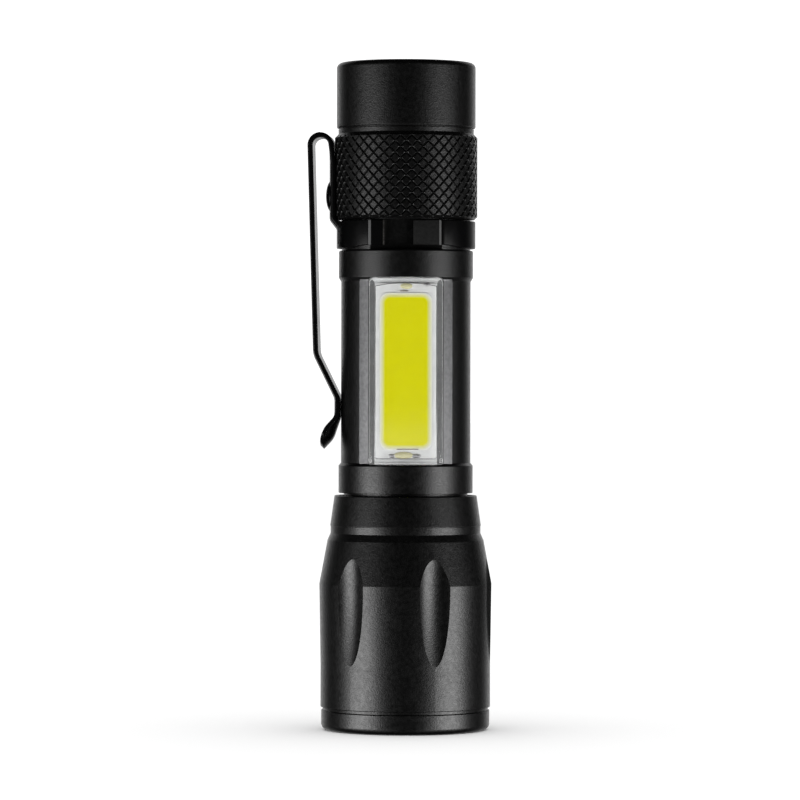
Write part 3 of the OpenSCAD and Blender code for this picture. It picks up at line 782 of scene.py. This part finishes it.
def clip_arm():
    """Springy outer arm with a dished, round-ended tip."""
    elbow, heel, toe = (12.43, 52.4, 3), (9.43, 46.3, 2.5), (9.43, 43.5, 3)
    flare, tip = (10.35, 40.75, 2.6), (11.65, 39.4, 0)
    path = rounded([(BEND_X, BEND_TOP, 0), (BEND_X + BEND_R, BEND_TOP, BEND_R), elbow, heel, toe, flare, tip],
                   closed=False, steps=14)
    path = even(path, 0.5)
    lengths = [0.0]
    for a, b in zip(path, path[1:]):
        lengths.append(lengths[-1] + (b - a).length)
    whole = lengths[-1]
    spoon, ramp, dish, end = 5.6, 3.2, 1.05, 1.9
    widths, dishes = [], []
    for s in lengths:
        left = whole - s
        round_end = math.sqrt(max(0.0, 1 - (max(0.0, end - left) / end) ** 2))
        widths.append(max(CLIP_W / 2 * round_end, 0.35))
        u = min(1.0, max(0.0, (spoon - left) / ramp))
        dishes.append(dish * u * u * (3 - 2 * u))
    obj = strip("clip_arm_looks", path, widths, dishes, CLIP_BLACK, CLIP_TURN, ARM_T)
    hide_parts("clip_arm")
    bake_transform(obj)
    return obj


def clip_band():
    """Open ring round the tube, straight across the light's side, with the leg and the bend's inner half."""
    seat_r, seat_y = 9.0, -7.5
    mid_r, mid_y = seat_r + CLIP_T / 2 + 0.01, seat_y - CLIP_T / 2 - 0.01
    bend_x = math.sqrt(mid_r**2 - mid_y**2)
    start_a, end_a = math.atan2(mid_y, bend_x), math.atan2(mid_y, -bend_x) + 2 * math.pi
    steps = 120
    path = [Vector((1.0, mid_y))]
    path += [Vector((bend_x - 0.5, mid_y)), Vector((bend_x - 0.22, mid_y))]
    arc = [start_a + (end_a - start_a) * k / steps for k in range(steps + 1)]
    path += [Vector((mid_r * math.cos(a), mid_r * math.sin(a))) for a in arc]
    path += [Vector((x, mid_y)) for x in (0.22 - bend_x, 0.5 - bend_x, -3.2, -3.0)]
    # rows whose faces carry the painted bend highlight
    highlight_rows = (1, len(path) - 5)
    bm = bmesh.new()
    rings = []
    thick, edge = CLIP_T / 2, 0.14
    for i, point in enumerate(path):
        along = (path[min(i + 1, len(path) - 1)] - path[max(i - 1, 0)]).normalized()
        out = Vector((along.y, -along.x))
        front = max(0.0, min(1.0, (-point.y - 5.6) / (-mid_y - 5.6)))
        z0, z1 = RING_Z0 + 0.33 * front * front * (3 - 2 * front), RING_Z0 + RING_H
        ring = []
        for cn, cz, turn in ((1, 1, 0), (-1, 1, 1), (-1, -1, 2), (1, -1, 3)):
            for k in range(5):
                a = math.pi / 2 * (turn + k / 4)
                n = cn * (thick - edge) + edge * math.cos(a)
                z = (z1 - edge if cz > 0 else z0 + edge) + edge * math.sin(a)
                ring.append(bm.verts.new(mm(point.x + out.x * n, point.y + out.y * n, z)))
        rings.append(ring)
    join_rings(bm, rings, closed=False)
    bm.faces.new(rings[0])
    bm.faces.new(rings[-1])
    bm.verts.index_update()
    size = len(rings[0])
    for face in bm.faces:
        rows = {v.index // size for v in face.verts}
        if min(rows) >= len(path) - 2:
            face.material_index = 1
        # painted highlight on the two bend lines
        elif len(rows) == 2 and min(rows) in highlight_rows:
            face.material_index = 2
        # painted sheen on the flat between the gap and one bend
        elif max(rows) == 1:
            face.material_index = 3
    ring_obj = make("clip_band_looks", bm, BAND_BLACK, BARE, BEND_HIGHLIGHT, GAP_FLAT_SHEEN)

    leg_path = rounded([(mid_r, RING_Z0 + 0.6, 0), (mid_r, RING_Z0 + 2.8, 0.8), (LEG_X, RING_Z0 + 4.1, 0.8),
                        (LEG_X, BEND_TOP, 1.49), (BEND_X, BEND_TOP, 0)], closed=False, steps=12)
    leg_path = even(leg_path, 0.5)
    dishes = [0.4 * min(1.0, max(0.0, (BEND_TOP - 1.5 - point.y) / 2.5)) for point in leg_path]
    leg = strip("leg", leg_path, [CLIP_W / 2] * len(leg_path), dishes, CLIP_BLACK, CLIP_TURN)
    combine(ring_obj, leg, "UNION")

    boss = bmesh.new()
    bmesh.ops.create_uvsphere(boss, u_segments=40, v_segments=24, radius=1.0)
    bmesh.ops.scale(boss, vec=mm(0.8, 2.2, 2.2), verts=boss.verts)
    bmesh.ops.bisect_plane(boss, geom=boss.verts[:] + boss.edges[:] + boss.faces[:], plane_co=(0, 0, 0),
                           plane_no=(1, 0, 0), clear_inner=True)
    bmesh.ops.holes_fill(boss, edges=[edge for edge in boss.edges if edge.is_boundary])
    bmesh.ops.translate(boss, vec=mm(LEG_X + 0.05, 0, CAP_Z + 3.3), verts=boss.verts)
    bmesh.ops.transform(boss, matrix=CLIP_TURN, verts=boss.verts)
    combine(ring_obj, make("boss", boss, CLIP_BLACK), "UNION")
    smooth(ring_obj)
    return stands_for(ring_obj, "clip_band", "tube")


# ---------- tail cap ----------


class Knurl:
    """Diamond knurl: two families of V grooves cross at about 45 degrees and leave flat-topped diamonds."""

    AROUND = 40
    PITCH = 1.59
    DEPTH = 0.22
    HALF = 0.15
    LINES = (0, 0.05, 0.1, HALF, 0.5, 1 - HALF, 0.9, 0.95)
    Z0 = CAP_Z
    Z1 = CAP_Z + 11.8
    MIDDLE_Z = CAP_Z + 5.83
    FRONT = -math.pi / 2

    @classmethod
    def radius(cls, angle, z):
        u = (angle - cls.FRONT) / (2 * math.pi) * cls.AROUND
        v = (z - cls.MIDDLE_Z) / cls.PITCH
        nearest = min(abs(w - round(w)) for w in (u + v, u - v))
        grooved = KNURL_R - cls.DEPTH * (0.5 + 0.5 * math.cos(math.pi * min(1.0, nearest / cls.HALF)))
        chamfer = 0.4
        from_end = min(z - cls.Z0, cls.Z1 - z)
        return min(grooved, KNURL_R - max(0.0, chamfer - from_end))

    @classmethod
    def sleeve(cls, bm):
        """The knurled wall as quads whose edges run along the grooves."""
        n = len(cls.LINES)
        wrap = cls.AROUND * n
        rows = (cls.Z1 - cls.Z0) / cls.PITCH / 2 + 1

        def line(i):
            return i // n + cls.LINES[i % n]

        verts = {}

        def vert(i, j):
            while line(i) + line(j) >= 2 * cls.AROUND - 1e-9:
                i, j = i - wrap, j - wrap
            while line(i) + line(j) < -1e-9:
                i, j = i + wrap, j + wrap
            if (i, j) not in verts:
                u, v = (line(i) + line(j)) / 2, (line(i) - line(j)) / 2
                a = cls.FRONT + 2 * math.pi * u / cls.AROUND
                co = mm(KNURL_R * math.cos(a), KNURL_R * math.sin(a), cls.MIDDLE_Z + v * cls.PITCH)
                verts[i, j] = bm.verts.new(co)
            return verts[i, j]

        reach = int(rows * n) + 1
        for i in range(-reach, wrap + reach):
            for j in range(-reach, wrap + reach):
                total = line(i) + line(j)
                if abs(line(i) - line(j)) / 2 > rows or not -1e-9 <= total < 2 * cls.AROUND - 1e-9:
                    continue
                q = [vert(i, j), vert(i + 1, j), vert(i + 1, j + 1), vert(i, j + 1)]
                bm.faces.new(q)


def boundary_at(bm, z):
    """Boundary edges of the mesh at a height in mm."""
    return [e for e in bm.edges if e.is_boundary and all(abs(v.co.z / MM - z) < 1e-3 for v in e.verts)]


def carry_on(bm, edges, points):
    """The wall carried on from its boundary through (r, z) points in mm; returns the new boundary."""
    for r, z in points:
        grown = bmesh.ops.extrude_edge_only(bm, edges=edges)["geom"]
        edges = [g for g in grown if isinstance(g, bmesh.types.BMEdge) and g.is_boundary]
        for v in {v for e in edges for v in e.verts}:
            a = math.atan2(v.co.y, v.co.x)
            v.co = mm(r * math.cos(a), r * math.sin(a), z)
    return edges


def tailcap():
    bm = bmesh.new()
    Knurl.sleeve(bm)
    cuts = [(Knurl.Z0, True), (Knurl.Z0 + 0.4, False), (Knurl.Z1 - 0.4, False), (Knurl.Z1, True)]
    for z, trim in cuts:
        bmesh.ops.bisect_plane(bm, geom=bm.verts[:] + bm.edges[:] + bm.faces[:], plane_co=mm(0, 0, z),
                               plane_no=(0, 0, 1), clear_inner=trim and z == Knurl.Z0,
                               clear_outer=trim and z == Knurl.Z1)
    for v in bm.verts:
        a = math.atan2(v.co.y, v.co.x)
        r = Knurl.radius(a, v.co.z / MM)
        v.co = mm(r * math.cos(a), r * math.sin(a), v.co.z / MM)
    cove_r, tail_r, hole_r = 9.42, 9.69, 6.0
    start_r = KNURL_R - 0.4
    wall_z, ledge_z, switch_z = END_Z - 1.6, CAP_Z + 13.25, CAP_Z + 10.05
    outside = rounded([
        (start_r, Knurl.Z1, 0), (cove_r + 0.02, Knurl.Z1 + 0.14, 0.1), (cove_r + 0.04, Knurl.Z1 + 0.76, 0.02),
        (cove_r - 0.1, Knurl.Z1 + 0.83, 0.02), (cove_r - 0.1, Knurl.Z1 + 0.9, 0.02),
        (tail_r - 0.1, Knurl.Z1 + 0.95, 0.02), (tail_r, Knurl.Z1 + 1.12, 0.06), (tail_r, END_Z, 0.75),
        (hole_r, END_Z, 0.25), (hole_r, wall_z, 0), (7.0, wall_z, 0), (7.0, ledge_z, 0), (7.9, ledge_z, 0),
        (7.9, switch_z, 0), (8.45, switch_z, 0), (8.45, CAP_Z, 0)], closed=False, steps=7)
    inner = carry_on(bm, boundary_at(bm, Knurl.Z1), outside[1:])
    outer = [e for e in boundary_at(bm, Knurl.Z0) if e not in set(inner)]
    bmesh.ops.bridge_loops(bm, edges=inner + outer)
    return stands_for(make("tailcap_looks", bm, BLACK), "tailcap", "tail_cap")


def switch_boot():
    """Rubber button with a shallow dome and a raised rim."""
    lo, hi = low("switch_boot"), high("switch_boot")
    r, flange_r = 5.85, hi.x
    top = hi.z
    obj = turned("switch_boot_looks", [
        (4.95, lo.z, 0), (flange_r, lo.z, 0.1), (flange_r, END_Z - 1.65, 0.1), (r, END_Z - 1.65, 0.1),
        (r, top - 0.25, 0.35), (r - 1.1, top, 0.3), (r - 1.5, top - 0.18, 0.2), (r - 2.6, top - 0.14, 0.5),
        (0, top, 0), (0, END_Z - 1.34, 0), (4.95, END_Z - 1.34, 0)], RUBBER, closed=False)
    bm = bmesh.new()
    bm.from_mesh(obj.data)
    bmesh.ops.holes_fill(bm, edges=[e for e in bm.edges if e.is_boundary])
    rims = [e for e in bm.edges if e.is_boundary]
    bmesh.ops.bridge_loops(bm, edges=rims)
    bm.to_mesh(obj.data)
    bm.free()
    smooth(obj)
    return stands_for(obj, "switch_boot", "tail_button")


def switch_spring():
    """Coil under the plunger, riding on the tail cap."""
    lo, hi = low("switch_spring"), high("switch_spring")
    coil_r, wire_r, coils, per_coil = 1.4, 0.14, 4, 24
    steps = coils * per_coil
    around = [2 * math.pi * j / 8 for j in range(8)]
    bm = bmesh.new()
    rings = []
    for k in range(steps + 1):
        turn = Matrix.Rotation(2 * math.pi * k / per_coil, 3, "Z")
        z = lo.z + wire_r + (hi.z - lo.z - 2 * wire_r) * k / steps
        rings.append([bm.verts.new(turn @ mm(coil_r + wire_r * math.cos(a), 0, z + wire_r * math.sin(a)))
                      for a in around])
    join_rings(bm, rings, closed=False)
    bm.faces.new(rings[0])
    bm.faces.new(rings[-1])
    obj = make("switch_spring_looks", bm, STEEL)
    smooth(obj)
    stands_for(obj, "switch_spring", "tail_cap")
    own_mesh(obj)
    return obj


# ---------- studio ----------


def area_light(name, place, target, size, strength):
    data = bpy.data.lights.new(name, "AREA")
    data.shape = "RECTANGLE"
    data.size, data.size_y = size
    data.energy = strength * size[0] * size[1] * math.pi
    obj = bpy.data.objects.new(name, data)
    obj.location = place
    obj.rotation_euler = (Vector(target) - Vector(place)).to_track_quat("-Z", "Y").to_euler()
    obj.visible_camera = False
    bpy.context.scene.collection.objects.link(obj)


def polar(azimuth, distance, height):
    """A place round the torch; azimuth 0 is on the light panel's side and 90 is at +X."""
    a = math.radians(azimuth)
    return (distance * math.sin(a), -distance * math.cos(a), height)


def studio():
    """Two low softboxes ahead at the sides, a light tent around, and dim strips behind."""
    middle = (0, 0, 0.046)
    for side in (-1, 1):
        area_light(f"softbox_{side}", polar(side * 62, 0.45, -0.07), (0, 0, -0.02), (0.3, 0.2), 8.0)
        area_light(f"low_card_{side}", polar(side * 40, 0.34, -0.24), middle, (0.2, 0.2), 0.6)
        area_light(f"rear_{side}", polar(side * 158, 0.6, 0.15), middle, (0.25, 0.5), 0.5)

    bm = bmesh.new()
    bmesh.ops.create_grid(bm, x_segments=1, y_segments=1, size=4.0)
    s = Shader("floor_paper", (0.88, 0.88, 0.88), 0.9)
    s.set("Specular IOR Level", 0.0)
    s.raise_by(s.noise(1.5, 3), 0.01)
    floor = make("floor", bm, s.material)
    floor.visible_glossy = False
    floor.visible_shadow = False

    world = bpy.data.worlds.new("studio")
    bpy.context.scene.world = world
    world.use_nodes = True
    world.cycles.sampling_method = "NONE"
    nodes, links = world.node_tree.nodes, world.node_tree.links
    tent = nodes["Background"]
    tent.inputs["Color"].default_value = (1, 1, 1, 1)
    tent.inputs["Strength"].default_value = 1.2
    mirrored = nodes.new("ShaderNodeBackground")
    mirrored.inputs["Color"].default_value = (1, 1, 1, 1)
    behind = nodes.new("ShaderNodeMapRange")
    for socket, value in (("From Min", 0.62), ("From Max", 0.98), ("To Min", 0.008), ("To Max", 0.7)):
        behind.inputs[socket].default_value = value
    direction = nodes.new("ShaderNodeSeparateXYZ")
    links.new(nodes.new("ShaderNodeTexCoord").outputs["Generated"], direction.inputs["Vector"])
    links.new(direction.outputs["Y"], behind.inputs["Value"])
    links.new(behind.outputs["Result"], mirrored.inputs["Strength"])
    mix = nodes.new("ShaderNodeMixShader")
    links.new(nodes.new("ShaderNodeLightPath").outputs["Is Glossy Ray"], mix.inputs["Fac"])
    links.new(tent.outputs["Background"], mix.inputs[1])
    links.new(mirrored.outputs["Background"], mix.inputs[2])
    links.new(mix.outputs["Shader"], nodes["World Output"].inputs["Surface"])


def camera():
    """Long lens level with the torch, looking along +Y from just above its middle."""
    data = bpy.data.cameras.new("camera")
    data.lens = 200.7
    data.clip_start = 0.01
    obj = bpy.data.objects.new("camera", data)
    obj.location = (-0.0008, -0.623, 0.0494)
    aim = Vector((-0.0008, 0, 0.046))
    roll = Quaternion((0, 0, 1), math.radians(0.1))
    obj.rotation_euler = ((aim - obj.location).to_track_quat("-Z", "Y") @ roll).to_euler()
    bpy.context.scene.collection.objects.link(obj)
    bpy.context.scene.camera = obj


bpy.context.scene.view_settings.view_transform = "Standard"
camera()
studio()
for node, finish in CAD_FINISHES.items():
    frame["nodes"][node].data.materials.clear()
    frame["nodes"][node].data.materials.append(finish)
head_shell()
bezel_ring()
lens()
body_tube()
side_light()
panel_bed()
panel_cover()
clip_band()
clip_arm()
tailcap()
switch_boot()
switch_spring()
